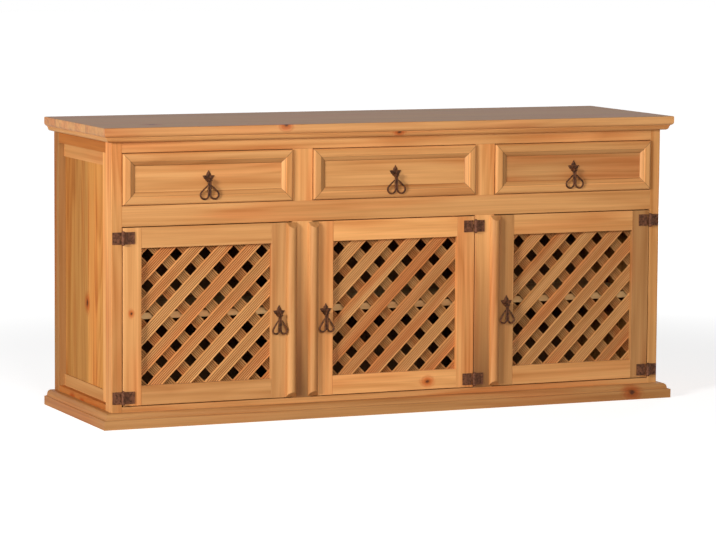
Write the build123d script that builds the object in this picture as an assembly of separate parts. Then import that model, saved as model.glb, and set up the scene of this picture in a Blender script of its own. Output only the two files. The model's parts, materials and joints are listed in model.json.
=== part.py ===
"""Rustic pine sideboard: three drawers over three lattice doors, with wrought-iron fittings.

Millimetres, +Z up, front towards -Y.  The origin is on the floor, below the centre of the
overall box.  Pieces are first laid out with the face frame's front at Y = 0, and save()
moves them to the origin.  Every piece is a solid of its own.
"""
from build123d import *
from math import ceil, sqrt
import os

# ---------------------------------------------------------------- carcass
body_width = 1600.0
body_depth = 465.0
body_height = 744.0           # floor to the lower edge of the cornice
stile_width = 28.5
front_post_depth = 47.0
rear_post_depth = 40.0
mullion_width = 56.0
face_thickness = 22.0         # rails and mullions of the face frame
drawer_opening_height = 137.5
top_rail_drop = 28.5          # top rail that shows below the cornice
mid_rail_height = 54.0
bottom_rail_top = 54.0
bottom_rail_height = 40.0
edge_ease = 0.8               # small chamfer on the long sawn edges

# ---------------------------------------------------------------- top and mouldings
top_thickness = 25.0
top_overhang = 28.0
top_board_widths = (152.0, 246.0)    # the third board takes the rest
top_lower_round = 9.0
top_upper_round = 3.0
cornice_height = 13.0
cornice_out = 20.0
cornice_foot = 11.0           # thickness at its lower edge
cornice_lip = 3.0             # height of the square edge above the round
cornice_ledge = 2.0
plinth_height = 40.0
plinth_out = 30.0
plinth_fascia = 24.0
plinth_ledge = 3.0
plinth_cove = 5.0

# ---------------------------------------------------------------- sides and back
side_recess = 15.0
side_trim_thickness = 4.0
side_trim_stile = 63.0
side_top_trim = 37.0
side_bottom_trim = 31.0
side_top_rail_height = 43.0
side_bottom_rail_top = 55.5
side_bottom_rail_bottom = 12.0
groove_depth = 6.0            # housing of the side panels in posts and rails
back_thickness = 10.0
back_rebate = 9.0
back_bottom = 14.0
back_board_count = 10

# ---------------------------------------------------------------- inside
floor_thickness = 14.0
floor_top = 48.0
shelf_thickness = 17.0
shelf_top = 295.0
shelf_setback = 30.0
cleat = 20.0

# ---------------------------------------------------------------- drawers
drawer_gap = 1.5
drawer_front_thickness = 18.0
drawer_moulding_width = 33.0
drawer_moulding_thickness = 7.0
moulding_round = 6.0
moulding_flat = 18.5
moulding_step = 1.2
moulding_toe = 1.0
drawer_side_thickness = 12.0
drawer_side_height = 108.0
drawer_back_clearance = 37.0  # closed drawer's box to the back boards
drawer_guide_thickness = 7.0  # the guides end flush with the sides of the opening
drawer_bottom_thickness = 6.0
drawer_bottom_lift = 10.0
drawer_groove = 5.0
runner_gap = 0.3
runner_thickness = 20.0
runner_reach = 18.0           # under the drawer's side
guide_gap = 0.5
guide_height = 24.0

# ---------------------------------------------------------------- doors
door_gap = 2.5
door_proud = 0.5
door_thickness = 25.0
hinge_stile = 51.0
pull_stile = 58.0
door_top_rail = 54.0
door_bottom_rail = 51.0
lattice_setback = 12.0
lattice_seat = 8.0            # how far the strips run behind the door's frame
lattice_play = 0.4
lattice_period = 80.0         # along the row of holes
strip_width = 30.0
strip_thickness = 6.0
reed_cuts = 5                 # V grooves side by side along a strip
reed_pitch = 5.0
reed_depth = 1.3
batten_width = 28.0
batten_thickness = 14.0
batten_overlap = 11.0         # past the door's edge of the opening, over the mullion

# ---------------------------------------------------------------- hinges
hinge_height = 31.5
hinge_frame_leaf = 28.0       # pin to the leaf's edge
hinge_door_leaf = 33.0
hinge_leaf_thickness = 2.5
hinge_barrel_radius = 5.5
hinge_barrel_facets = 16      # hammered round
hinge_pin_radius = 1.8
pin_facets = 12               # pins of hinges and pulls, hammered round
hinge_running_gap = 0.08
hinge_barrel_clearance = 0.3
hinge_leaf_clearance = 0.5
hinge_middle_length = 12.0
hinge_finial = 3.0            # blunt tip at each end of the pin
hinge_finial_radius = 4.6
hinge_finial_tip = 2.6
hinge_finial_facets = 8
hinge_drop = 11.0             # door's top edge to the top of the upper hinge
hinge_rise = 6.0              # door's bottom edge to the foot of the lower hinge

# ---------------------------------------------------------------- pulls
pull_plate_thickness = 2.0
pull_plate_rise = 26.5        # pin to the point of the plate
pull_plate_tail = 8.0
pull_lobe_width = 13.0
pull_side_lobe_length = 19.0
pull_side_lobe_width = 10.0
pull_side_lobe_lift = 3.0
pull_side_lobe_angle = 62.0
pull_lobe_shoulders = (0.35, 0.6)    # where a lobe is widest, as shares of its length
pull_pin_radius = 1.5
pull_pin_gap = 0.08
pull_eye_radius = 3.3         # across the flats of the eight-sided eye
pull_ear_thickness = 2.0
pull_ear_gap = 0.3
pull_bar = 4.0
pull_slit = 1.2               # between the two bars of the shank
pull_length = 51.5            # pin to the lowest point of the loops
pull_shoulder = 13.0          # pin to the top of the loops
pull_loop_inset = 2.8         # centre line to the near side of a loop
pull_loop_facets = 12         # forged round
drawer_pull_loop_radius = 12.5
door_pull_loop_radius = 10.0
pull_clear = 0.5              # between the hanging drop and the drawer's moulding
drawer_pull_height = 61.5     # pin above the lower edge of the drawer's opening
door_pull_height = 223.0      # pin above the lower edge of the door's opening

# ---------------------------------------------------------------- derived places
half_width = body_width / 2
opening_width = (body_width - 2 * stile_width - 2 * mullion_width) / 3
opening_left = [-half_width + stile_width + i * (opening_width + mullion_width) for i in range(3)]
top_underside = body_height + cornice_height
drawer_opening_top = body_height - top_rail_drop
drawer_opening_bottom = drawer_opening_top - drawer_opening_height
door_opening_top = drawer_opening_bottom - mid_rail_height
door_opening_bottom = bottom_rail_top
inner_half = half_width - stile_width
back_front = body_depth - back_thickness
rear_post_front = body_depth - rear_post_depth
side_top_rail_bottom = top_underside - side_top_rail_height
drawer_length = back_front - drawer_back_clearance - drawer_front_thickness
side_panel_thickness = stile_width - side_recess - side_trim_thickness
pull_standoff = drawer_moulding_thickness + pull_clear + pull_bar / 2
to_origin = Pos(0, (plinth_out - body_depth) / 2, 0)

os.makedirs("parts", exist_ok=True)


def save(name, *solids):
    """Write one sub-part; several solids stay separate pieces of the same node."""
    pieces = [to_origin * solid for solid in solids]
    shape = pieces[0] if len(pieces) == 1 else Compound(children=pieces)
    export_step(shape, f"parts/{name}.step")


def block(x_range, y_range, z_range):
    """A board between the given limits."""
    (x0, x1), (y0, y1), (z0, z1) = x_range, y_range, z_range
    board = Box(x1 - x0, y1 - y0, z1 - z0, align=(Align.MIN, Align.MIN, Align.MIN))
    return Pos(x0, y0, z0) * board


def eased(board):
    """Break the two long edges of a board's front face."""
    front = board.faces().sort_by(Axis.Y)[0]
    return chamfer(front.edges().sort_by(SortBy.LENGTH)[-2:], edge_ease)


def prism(points, z0, z1):
    """A vertical prism over a plan outline."""
    return Pos(0, 0, z0) * extrude(make_face(Polyline(*points, close=True)), z1 - z0)


def flipped(shape):
    """The mirror image on the other end of the cabinet."""
    return mirror(shape, about=Plane.YZ)


# ---------------------------------------------------------------- top and mouldings
def rim(slab, level):
    """The slab's front and end edges at one level."""
    return slab.edges().filter_by(
        lambda edge: abs(edge.center().Z - level) < 0.01 and edge.center().Y < body_depth - 1)


def build_top():
    """A slab of three glued boards with a rounded edge on the front and both ends."""
    half = half_width + top_overhang
    top = top_underside + top_thickness
    slab = block((-half, half), (-top_overhang, body_depth), (top_underside, top))
    slab = fillet(rim(slab, top_underside), top_lower_round)
    slab = fillet(rim(slab, top), top_upper_round)
    limits = [-top_overhang]
    for width in top_board_widths:
        limits.append(limits[-1] + width)
    limits.append(body_depth)
    return [slab & block((-half, half), pair, (top_underside, top)) for pair in zip(limits, limits[1:])]


def cornice_profile():
    """Round under the top: x is the projection from the body, y the height above its foot."""
    outer = cornice_out - cornice_ledge
    rise = cornice_height - cornice_lip
    belly = (cornice_foot + (outer - cornice_foot) * sqrt(0.5), rise * (1 - sqrt(0.5)))
    line = Polyline((0, 0), (cornice_foot, 0)) + ThreePointArc((cornice_foot, 0), belly, (outer, rise))
    line += Polyline((outer, rise), (cornice_out, rise), (cornice_out, cornice_height), (0, cornice_height), (0, 0))
    return make_face(line)


def plinth_profile():
    """Skirting: a flat fascia, a ledge, a small cove and a quarter round that dies into the body."""
    shoulder = plinth_out - plinth_ledge
    roll_foot = plinth_fascia + plinth_cove
    roll = plinth_height - roll_foot
    roll_out = shoulder - plinth_cove
    cove_mid = (shoulder - plinth_cove * sqrt(0.5), roll_foot - plinth_cove * sqrt(0.5))
    roll_mid = (roll_out - roll + roll * sqrt(0.5), roll_foot + roll * sqrt(0.5))
    line = Polyline((0, 0), (plinth_out, 0), (plinth_out, plinth_fascia), (shoulder, plinth_fascia))
    line += ThreePointArc((shoulder, plinth_fascia), cove_mid, (roll_out, roll_foot))
    line += ThreePointArc((roll_out, roll_foot), roll_mid, (roll_out - roll, plinth_height))
    line += Polyline((roll_out - roll, plinth_height), (0, plinth_height), (0, 0))
    return make_face(line)


def mitred_runs(profile, out, base, height):
    """Moulding round the front and both ends, mitred at the front corners."""
    reach = half_width + out
    front_plane = Plane(origin=(reach, 0, base), x_dir=(0, -1, 0), z_dir=(-1, 0, 0))
    front = extrude(front_plane * profile, 2 * reach)
    front &= prism([(-half_width, 0), (-reach, -out), (reach, -out), (half_width, 0)], base, base + height)
    side_plane = Plane(origin=(-half_width, -out, base), x_dir=(-1, 0, 0), z_dir=(0, 1, 0))
    left = extrude(side_plane * profile, out + body_depth)
    left &= prism([(-half_width, 0), (-reach, -out), (-reach, body_depth), (-half_width, body_depth)],
                  base, base + height)
    return front, left


# ---------------------------------------------------------------- face frame, posts and sides
def build_front_stile():
    """Left front post, rebated for the side panel."""
    post = eased(block((-half_width, -inner_half), (0, front_post_depth), (0, top_underside)))
    return post - side_groove()


def build_rear_post():
    """Left rear post, rebated for the side panel and for the back boards."""
    post = block((-half_width, -inner_half), (rear_post_front, body_depth), (0, top_underside))
    rebate = block((-inner_half - back_rebate, -inner_half), (back_front, body_depth), (0, top_underside))
    return post - rebate - side_groove()


def side_panel_box():
    """Limits of the left side panel, tongues included."""
    return ((-inner_half - side_panel_thickness, -inner_half),
            (front_post_depth - groove_depth, rear_post_front + groove_depth),
            (side_bottom_rail_top - groove_depth, side_top_rail_bottom + groove_depth))


def side_groove():
    """The housing that the left side panel's edges sit in."""
    return block(*side_panel_box())


def build_side_rails():
    """Top and bottom rails of the left end, flush with the posts outside."""
    span = ((-half_width, -inner_half), (front_post_depth, rear_post_front))
    upper = block(*span, (side_top_rail_bottom, top_underside))
    lower = block(*span, (side_bottom_rail_bottom, side_bottom_rail_top))
    return [upper - side_groove(), lower - side_groove()]


def build_side_trims():
    """Flat strips planted on the left panel: a front strip and two across."""
    outer = -half_width + side_recess
    thickness = (outer, outer + side_trim_thickness)
    strip_back = front_post_depth + side_trim_stile
    front = block(thickness, (front_post_depth, strip_back), (side_bottom_rail_top, side_top_rail_bottom))
    across = (strip_back, rear_post_front)
    upper = block(thickness, across, (side_top_rail_bottom - side_top_trim, side_top_rail_bottom))
    lower = block(thickness, across, (side_bottom_rail_top, side_bottom_rail_top + side_bottom_trim))
    return [front, upper, lower]


def build_back_boards():
    """Vertical boards let into the rear posts' rebates."""
    half = inner_half + back_rebate
    width = 2 * half / back_board_count
    boards = []
    for i in range(back_board_count):
        left = -half + i * width
        board = block((left, left + width), (back_front, body_depth), (back_bottom, top_underside))
        upright = board.edges().filter_by(Axis.Z).filter_by(lambda edge: edge.center().Y > back_front + 1)
        boards.append(chamfer(upright, edge_ease))
    return boards


def build_frame_rails():
    """Top, middle and bottom rails of the face frame, end to end between the posts."""
    span = ((-inner_half, inner_half), (0, face_thickness))
    top = eased(block(*span, (drawer_opening_top, top_underside)))
    middle = eased(block(*span, (door_opening_top, drawer_opening_bottom)))
    bottom = eased(block(*span, (bottom_rail_top - bottom_rail_height, bottom_rail_top)))
    return top, middle, bottom


def build_mullions():
    """Short uprights between the drawers and long ones between the doors."""
    pieces = []
    for left in opening_left[:2]:
        start = left + opening_width
        across = (start, start + mullion_width)
        for levels in ((drawer_opening_bottom, drawer_opening_top), (door_opening_bottom, door_opening_top)):
            pieces.append(eased(block(across, (0, face_thickness), levels)))
    return pieces


# ---------------------------------------------------------------- inside
def build_floor():
    return block((-inner_half, inner_half), (face_thickness, back_front), (floor_top - floor_thickness, floor_top))


def build_shelf():
    return block((-inner_half, inner_half), (shelf_setback, back_front), (shelf_top - shelf_thickness, shelf_top))


def build_cleats():
    """Square strips that carry the floor and the shelf and hold the top."""
    pieces = []
    for level in (floor_top - floor_thickness, shelf_top - shelf_thickness):
        end = block((-inner_half, -inner_half + cleat), (front_post_depth, back_front - cleat),
                    (level - cleat, level))
        pieces += [end, flipped(end)]
        pieces.append(block((-inner_half, inner_half), (back_front - cleat, back_front), (level - cleat, level)))
    for front in (face_thickness, back_front - cleat):
        pieces.append(block((-inner_half, inner_half), (front, front + cleat),
                            (top_underside - cleat, top_underside)))
    return pieces


def runner_top():
    return drawer_opening_bottom + drawer_gap - runner_gap


def drawer_half_width():
    """Half the width of a drawer's box, inside its guides."""
    return opening_width / 2 - drawer_guide_thickness - guide_gap


def build_runner(centre, side):
    """L-shaped wooden runner under one drawer side, from the middle rail to the back."""
    edge = drawer_half_width()
    near, foot, far = edge - runner_reach, edge + guide_gap, opening_width / 2
    depth = (face_thickness, back_front)
    runner = block((near, far), depth, (runner_top() - runner_thickness, runner_top()))
    runner += block((foot, far), depth, (runner_top(), runner_top() + guide_height))
    return Pos(centre, 0, 0) * (runner if side > 0 else flipped(runner))


# ---------------------------------------------------------------- drawers
def moulding_profile():
    """Section of the applied moulding: x runs inwards from the outer edge, y is its height.

    A rounded outer edge, a flat, a small step and a round that falls to a square toe.
    """
    width, height = drawer_moulding_width, drawer_moulding_thickness
    slope_top = height - moulding_step
    shoulder = (moulding_round * (1 - sqrt(0.5)), height - moulding_round * (1 - sqrt(0.5)))
    line = Polyline((0, 0), (0, height - moulding_round))
    line += ThreePointArc((0, height - moulding_round), shoulder, (moulding_round, height))
    line += Polyline((moulding_round, height), (moulding_flat, height), (moulding_flat, slope_top))
    line += TangentArc((moulding_flat, slope_top), (width, moulding_toe), tangent=(1, 0))
    line += Polyline((width, moulding_toe), (width, 0), (0, 0))
    return make_face(line)


def mitred_stick(length, distance):
    """One stick of the frame, lying along X with its outer edge at y = -distance."""
    plane = Plane(origin=(-length / 2, -distance, 0), x_dir=(0, 1, 0), z_dir=(1, 0, 0))
    stick = extrude(plane * moulding_profile(), length)
    width = drawer_moulding_width
    corners = [(-length / 2, -distance), (length / 2, -distance),
               (length / 2 - width, -distance + width), (-length / 2 + width, -distance + width)]
    return stick & prism(corners, 0, drawer_moulding_thickness)


def build_drawer(number, left):
    centre = left + opening_width / 2
    half = opening_width / 2 - drawer_gap
    bottom = drawer_opening_bottom + drawer_gap
    top = drawer_opening_top - drawer_gap
    front = block((centre - half, centre + half), (0, drawer_front_thickness), (bottom, top))
    save(f"drawer_{number}_front", front)

    lower = mitred_stick(2 * half, (top - bottom) / 2)
    end = Rot(0, 0, 90) * mitred_stick(top - bottom, half)
    sticks = [lower, Rot(0, 0, 180) * lower, end, Rot(0, 0, 180) * end]
    face = Plane(origin=(centre, 0, (top + bottom) / 2), x_dir=(1, 0, 0), z_dir=(0, -1, 0))
    save(f"drawer_{number}_moulding", *[face.location * stick for stick in sticks])

    edge = drawer_half_width()
    depth = (drawer_front_thickness, drawer_front_thickness + drawer_length)
    floor_level = bottom + drawer_bottom_lift
    inner = edge - drawer_side_thickness
    panel_half = inner + drawer_groove
    back_limits = (depth[1] - drawer_side_thickness, depth[1])
    panel = block((centre - panel_half, centre + panel_half), depth,
                  (floor_level, floor_level + drawer_bottom_thickness))
    sides = [block((centre - edge, centre - inner), depth, (bottom, bottom + drawer_side_height)) - panel,
             block((centre + inner, centre + edge), depth, (bottom, bottom + drawer_side_height)) - panel]
    rear = block((centre - inner, centre + inner), back_limits,
                 (floor_level + drawer_bottom_thickness, bottom + drawer_side_height))
    save(f"drawer_{number}_box", *sides, rear, panel)
    build_pull(f"drawer_{number}", (centre, 0, drawer_opening_bottom + drawer_pull_height),
               drawer_pull_loop_radius)


# ---------------------------------------------------------------- doors
def strip_section():
    """Cross-section of a lattice strip: flat borders and a band of V-cut reeds between them."""
    half = strip_width / 2
    start = -reed_cuts * reed_pitch / 2
    points = [(-half, 0), (-half, strip_thickness), (start, strip_thickness)]
    for i in range(reed_cuts):
        left = start + i * reed_pitch
        points += [(left + reed_pitch / 2, strip_thickness - reed_depth), (left + reed_pitch, strip_thickness)]
    points += [(half, strip_thickness), (half, 0)]
    return make_face(Polyline(*points, close=True))


def lattice_layer(width, height, angle):
    """Parallel reeded strips at an angle, cut to a rectangle; a hole falls on the centre."""
    pitch = lattice_period / sqrt(2)
    reach = (width + height) / 2 / sqrt(2)
    rows = ceil((reach - strip_width / 2) / pitch)
    plane = Plane(origin=(-reach, 0, 0), x_dir=(0, 1, 0), z_dir=(1, 0, 0))
    strip = extrude(plane * strip_section(), 2 * reach)
    field = Pos(0, 0, strip_thickness / 2) * Box(width, height, strip_thickness)
    strips = []
    for i in range(-rows, rows + 1):
        offset = (i + 0.5) * pitch
        if abs(offset) - strip_width / 2 < reach:
            strips.append((Rot(0, 0, angle) * Pos(0, offset, 0) * strip) & field)
    return strips


def build_batten(centre, low, high):
    """Half-round cover strip with ends sloped back at 45 degrees."""
    half = batten_width / 2
    section = make_face(ThreePointArc((-half, 0), (0, batten_thickness), (half, 0)) + Line((half, 0), (-half, 0)))
    foot = Plane(origin=(centre, -door_proud, low), x_dir=(-1, 0, 0), z_dir=(0, 0, 1))
    batten = extrude(foot * section, high - low)
    crest = -door_proud - batten_thickness
    outline = [(-door_proud, low), (crest, low + batten_thickness),
               (crest, high - batten_thickness), (-door_proud, high)]
    side_view = Plane(origin=(centre - half, 0, 0), x_dir=(0, 1, 0), z_dir=(1, 0, 0))
    return batten & extrude(side_view * make_face(Polyline(*outline, close=True)), batten_width)


def build_door(number, left, hinge_side):
    """hinge_side is -1 for a door hung on its left edge and 1 for its right edge."""
    right = left + opening_width
    low = door_opening_bottom + door_gap
    high = door_opening_top - door_gap
    edges = (left + door_gap, right - door_gap)
    widths = (hinge_stile, pull_stile) if hinge_side < 0 else (pull_stile, hinge_stile)
    inner = (edges[0] + widths[0], edges[1] - widths[1])
    sight = (low + door_bottom_rail, high - door_top_rail)
    depth = (-door_proud, door_thickness - door_proud)
    lip = -door_proud + lattice_setback

    rebate = block((inner[0] - lattice_seat, inner[1] + lattice_seat), (lip, depth[1]),
                   (sight[0] - lattice_seat, sight[1] + lattice_seat))
    stiles = [eased(block((edges[0], inner[0]), depth, (low, high))) - rebate,
              eased(block((inner[1], edges[1]), depth, (low, high))) - rebate]
    rails = [eased(block(inner, depth, (sight[1], high))) - rebate,
             eased(block(inner, depth, (low, sight[0]))) - rebate]
    save(f"door_{number}_stiles", *stiles)
    save(f"door_{number}_rails", *rails)

    centre = ((inner[0] + inner[1]) / 2, (sight[0] + sight[1]) / 2)
    width = inner[1] - inner[0] + 2 * (lattice_seat - lattice_play)
    height = sight[1] - sight[0] + 2 * (lattice_seat - lattice_play)
    for name, angle, row in (("front", 45, 1), ("back", -45, 2)):
        face = Plane(origin=(centre[0], lip + row * strip_thickness, centre[1]), x_dir=(1, 0, 0), z_dir=(0, -1, 0))
        strips = [face.location * strip for strip in lattice_layer(width, height, angle)]
        save(f"door_{number}_lattice_{name}", *strips)

    free_edge = left if hinge_side > 0 else right
    batten_centre = free_edge + hinge_side * (batten_width / 2 - batten_overlap)
    save(f"door_{number}_batten", build_batten(batten_centre, low, high))

    axis_x = (left + door_gap / 2) if hinge_side < 0 else (right - door_gap / 2)
    leaves = [build_door_leaf(axis_x, level, hinge_side) for level in hinge_levels()]
    save(f"door_{number}_hinge_leaves", *leaves)

    batten_edge = batten_centre + hinge_side * batten_width / 2
    stile_edge = inner[1] if hinge_side < 0 else inner[0]
    build_pull(f"door_{number}", ((batten_edge + stile_edge) / 2, -door_proud,
                                  door_opening_bottom + door_pull_height), door_pull_loop_radius)
    return [build_frame_leaf(axis_x, level, hinge_side) for level in hinge_levels()]


# ---------------------------------------------------------------- hinges
def hinge_levels():
    """Heights of the middle of the lower and upper hinges."""
    low = door_opening_bottom + door_gap + hinge_rise + hinge_height / 2
    high = door_opening_top - door_gap - hinge_drop - hinge_height / 2
    return low, high


def hinge_axis_y():
    return -door_proud - hinge_barrel_clearance - hinge_barrel_radius


def forged_bar(radius, facets, z0, z1):
    """An upright bar or knuckle on the Z axis, hammered round."""
    return Pos(0, 0, z0) * extrude(RegularPolygon(radius, facets), z1 - z0)


def build_door_leaf(axis_x, level, side):
    """Leaf on the door with the middle knuckle, bored for the pin."""
    axis_y = hinge_axis_y()
    back = -door_proud - axis_y
    plate_near = hinge_barrel_radius + hinge_leaf_clearance
    half = hinge_middle_length / 2
    plate = block((plate_near, hinge_door_leaf), (back - hinge_leaf_thickness, back),
                  (-hinge_height / 2, hinge_height / 2))
    web = block((0, plate_near), (back - hinge_leaf_thickness, back), (-half, half))
    leaf = plate + web + forged_bar(hinge_barrel_radius, hinge_barrel_facets, -half, half)
    leaf -= Cylinder(hinge_pin_radius + hinge_running_gap, hinge_middle_length)
    if side > 0:
        leaf = flipped(leaf)
    return Pos(axis_x, axis_y, level) * leaf


def build_frame_leaf(axis_x, level, side):
    """Leaf on the face frame with the outer knuckles, the pin and its blunt finials."""
    axis_y = hinge_axis_y()
    back = -axis_y
    plate_near = -hinge_barrel_radius - hinge_leaf_clearance
    half = hinge_height / 2
    gap_half = hinge_middle_length / 2 + hinge_barrel_clearance
    leaf = block((-hinge_frame_leaf, plate_near), (back - hinge_leaf_thickness, back), (-half, half))
    leaf += forged_bar(hinge_pin_radius, pin_facets, -half, half)
    for z0, z1 in ((-half, -gap_half), (gap_half, half)):
        leaf += block((plate_near, 0), (back - hinge_leaf_thickness, back - hinge_leaf_thickness / 2), (z0, z1))
        leaf += forged_bar(hinge_barrel_radius, hinge_barrel_facets, z0, z1)
    foot = RegularPolygon(hinge_finial_radius, hinge_finial_facets)
    point = Pos(0, 0, hinge_finial) * RegularPolygon(hinge_finial_tip, hinge_finial_facets)
    tip = Pos(0, 0, half) * loft([foot, point], ruled=True)
    leaf += tip
    leaf += Rot(180, 0, 0) * tip
    if side > 0:
        leaf = flipped(leaf)
    return Pos(axis_x, axis_y, level) * leaf


# ---------------------------------------------------------------- pulls
def pointed_lobe(length, width):
    """A pointed leaf along +Y from the origin, chiselled with straight sides."""
    low, high = [share * length for share in pull_lobe_shoulders]
    half = width / 2
    return make_face(Polyline((0, 0), (half, low), (half, high), (0, length), (-half, high), (-half, low),
                              close=True))


def forged_eye(length):
    """An eight-sided bar along the pin's axis."""
    section = RegularPolygon(pull_eye_radius, 8, major_radius=False, rotation=22.5)
    return Rot(0, 90, 0) * Pos(0, 0, -length / 2) * extrude(section, length)


def pull_half_shank():
    return pull_bar + pull_slit / 2


def build_pull_plate():
    """Three-lobed backplate with two ears and the pin between them; the pin lies on the X axis."""
    ear_inner = pull_half_shank() + pull_ear_gap
    ear_outer = ear_inner + pull_ear_thickness
    outline = Pos(0, pull_eye_radius) * pointed_lobe(pull_plate_rise - pull_eye_radius, pull_lobe_width)
    side_lobe = pointed_lobe(pull_side_lobe_length, pull_side_lobe_width)
    for angle in (-pull_side_lobe_angle, pull_side_lobe_angle):
        outline += Pos(0, pull_side_lobe_lift) * Rot(0, 0, angle) * side_lobe
    tail = pull_side_lobe_lift + pull_eye_radius + pull_plate_tail
    outline += Pos(0, tail / 2 - pull_plate_tail) * Rectangle(2 * ear_outer, tail)
    plate = extrude(outline, pull_plate_thickness)
    for side in (-1, 1):
        middle = side * (ear_inner + ear_outer) / 2
        ear = Box(pull_ear_thickness, 2 * pull_eye_radius, pull_standoff,
                  align=(Align.CENTER, Align.CENTER, Align.MIN))
        plate += Pos(middle, 0, 0) * ear
        plate += Pos(middle, 0, pull_standoff) * forged_eye(pull_ear_thickness)
    pin = forged_bar(pull_pin_radius, pin_facets, -ear_inner, ear_inner)
    return plate + Pos(0, 0, pull_standoff) * Rot(0, 90, 0) * pin


def build_pull_drop(loop_radius):
    """Hanging drop: two bars side by side that curl outwards into a pair of teardrop loops."""
    half_shank = pull_half_shank()
    loop_level = loop_radius - pull_length
    bar = Pos(pull_slit / 2, loop_level) * Rectangle(pull_bar, -loop_level, align=(Align.MIN, Align.MIN))
    loop = Pos(pull_loop_inset + loop_radius, loop_level)
    tip = Pos(half_shank - pull_bar / 2, -pull_shoulder)
    throat = Pos(half_shank + pull_bar / 4, -pull_shoulder - pull_bar)
    outer = make_hull((loop * RegularPolygon(loop_radius, pull_loop_facets)).edges()
                      + (tip * RegularPolygon(pull_bar / 2, 6)).edges())
    hole = make_hull((loop * RegularPolygon(loop_radius - pull_bar, pull_loop_facets)).edges()
                     + (throat * RegularPolygon(pull_bar / 4, 4)).edges())
    half = bar + (outer - hole)
    outline = half + mirror(half, about=Plane.YZ)
    drop = Pos(0, 0, -pull_bar / 2) * extrude(outline, pull_bar)
    drop += forged_eye(2 * half_shank)
    return drop - Rot(0, 90, 0) * Cylinder(pull_pin_radius + pull_pin_gap, 2 * half_shank)


def build_pull(name, place, loop_radius):
    """Plate and drop, with the pin in front of the given place on the surface."""
    face = Plane(origin=place, x_dir=(1, 0, 0), z_dir=(0, -1, 0)).location
    save(f"{name}_pull_plate", face * build_pull_plate())
    save(f"{name}_pull_drop", face * Pos(0, 0, pull_standoff) * build_pull_drop(loop_radius))


# ---------------------------------------------------------------- assembly
save("top_board", *build_top())
cornice_front, cornice_left = mitred_runs(cornice_profile(), cornice_out, body_height, cornice_height)
save("cornice_front", cornice_front)
save("cornice_sides", cornice_left, flipped(cornice_left))
plinth_front, plinth_left = mitred_runs(plinth_profile(), plinth_out, 0, plinth_height)
save("plinth_front", plinth_front)
save("plinth_sides", plinth_left, flipped(plinth_left))

front_stile = build_front_stile()
save("front_stile_left", front_stile)
save("front_stile_right", flipped(front_stile))
rear_post = build_rear_post()
save("rear_posts", rear_post, flipped(rear_post))
top_rail, mid_rail, bottom_rail = build_frame_rails()
save("top_rail", top_rail)
save("mid_rail", mid_rail)
save("bottom_rail", bottom_rail)
save("mullions", *build_mullions())
side_rails = build_side_rails()
save("side_rails", *side_rails, *[flipped(rail) for rail in side_rails])
side_panel = block(*side_panel_box())
save("side_panels", side_panel, flipped(side_panel))
side_trims = build_side_trims()
save("side_trims", *side_trims, *[flipped(trim) for trim in side_trims])
save("back_boards", *build_back_boards())
save("floor_board", build_floor())
save("shelf", build_shelf())
save("inner_cleats", *build_cleats())

runners = []
frame_leaves = []
for index, left_edge in enumerate(opening_left):
    runners += [build_runner(left_edge + opening_width / 2, side) for side in (-1, 1)]
    build_drawer(index + 1, left_edge)
    frame_leaves += build_door(index + 1, left_edge, -1 if index == 0 else 1)
save("drawer_runners", *runners)
save("hinge_frame_leaves", *frame_leaves)
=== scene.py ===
"""Looks of the rustic pine sideboard: stained and waxed pine, forged iron fittings, plain studio.

Everything is in metres in the cabinet's own frame: +Z up, front towards -Y, origin on the
floor below the centre of the overall box.
"""
import json
from math import acos, atan2, cos, pi, radians, sin

import bmesh
import bpy
from mathutils import Matrix, Vector


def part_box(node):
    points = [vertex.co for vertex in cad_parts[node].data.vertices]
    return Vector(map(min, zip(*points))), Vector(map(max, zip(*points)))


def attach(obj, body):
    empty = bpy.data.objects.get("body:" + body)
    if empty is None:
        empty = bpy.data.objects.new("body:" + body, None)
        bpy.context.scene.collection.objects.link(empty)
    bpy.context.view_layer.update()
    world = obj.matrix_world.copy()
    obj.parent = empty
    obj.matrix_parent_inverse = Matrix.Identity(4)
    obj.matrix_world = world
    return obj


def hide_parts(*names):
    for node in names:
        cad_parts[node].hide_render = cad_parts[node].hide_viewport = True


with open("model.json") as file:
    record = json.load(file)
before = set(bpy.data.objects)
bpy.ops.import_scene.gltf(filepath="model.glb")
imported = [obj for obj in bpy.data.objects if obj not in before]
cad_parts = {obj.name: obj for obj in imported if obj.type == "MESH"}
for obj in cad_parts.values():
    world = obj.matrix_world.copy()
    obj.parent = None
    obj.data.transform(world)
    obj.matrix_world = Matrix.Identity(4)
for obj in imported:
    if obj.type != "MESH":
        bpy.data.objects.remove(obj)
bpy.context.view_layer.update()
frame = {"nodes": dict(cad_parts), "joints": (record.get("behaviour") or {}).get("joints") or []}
joints = {joint["name"]: joint for joint in frame["joints"]}
X, Y, Z = 0, 1, 2


# ---------------------------------------------------------------- helpers
def colour(code):
    """An sRGB hex value as linear RGBA."""
    levels = [int(code[i:i + 2], 16) / 255 for i in (1, 3, 5)]
    linear = [p / 12.92 if p <= 0.04045 else ((p + 0.055) / 1.055) ** 2.4 for p in levels]
    return (*linear, 1.0)


def add(tree, kind, sockets=(), **settings):
    """Add a node with its settings; a socket takes a value, a socket or a node's first output."""
    item = tree.nodes.new("ShaderNode" + kind)
    for key, value in settings.items():
        setattr(item, key, value)
    for key, value in dict(sockets).items():
        if isinstance(value, bpy.types.Node):
            value = value.outputs[0]
        if isinstance(value, bpy.types.NodeSocket):
            tree.links.new(value, item.inputs[key])
        else:
            item.inputs[key].default_value = value
    return item


def maths(tree, operation, *values, **settings):
    """A sum on numbers."""
    return add(tree, "Math", dict(enumerate(values)), operation=operation, **settings)


def vectors(tree, operation, *values):
    """A sum on vectors."""
    return add(tree, "VectorMath", dict(enumerate(values)), operation=operation)


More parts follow.
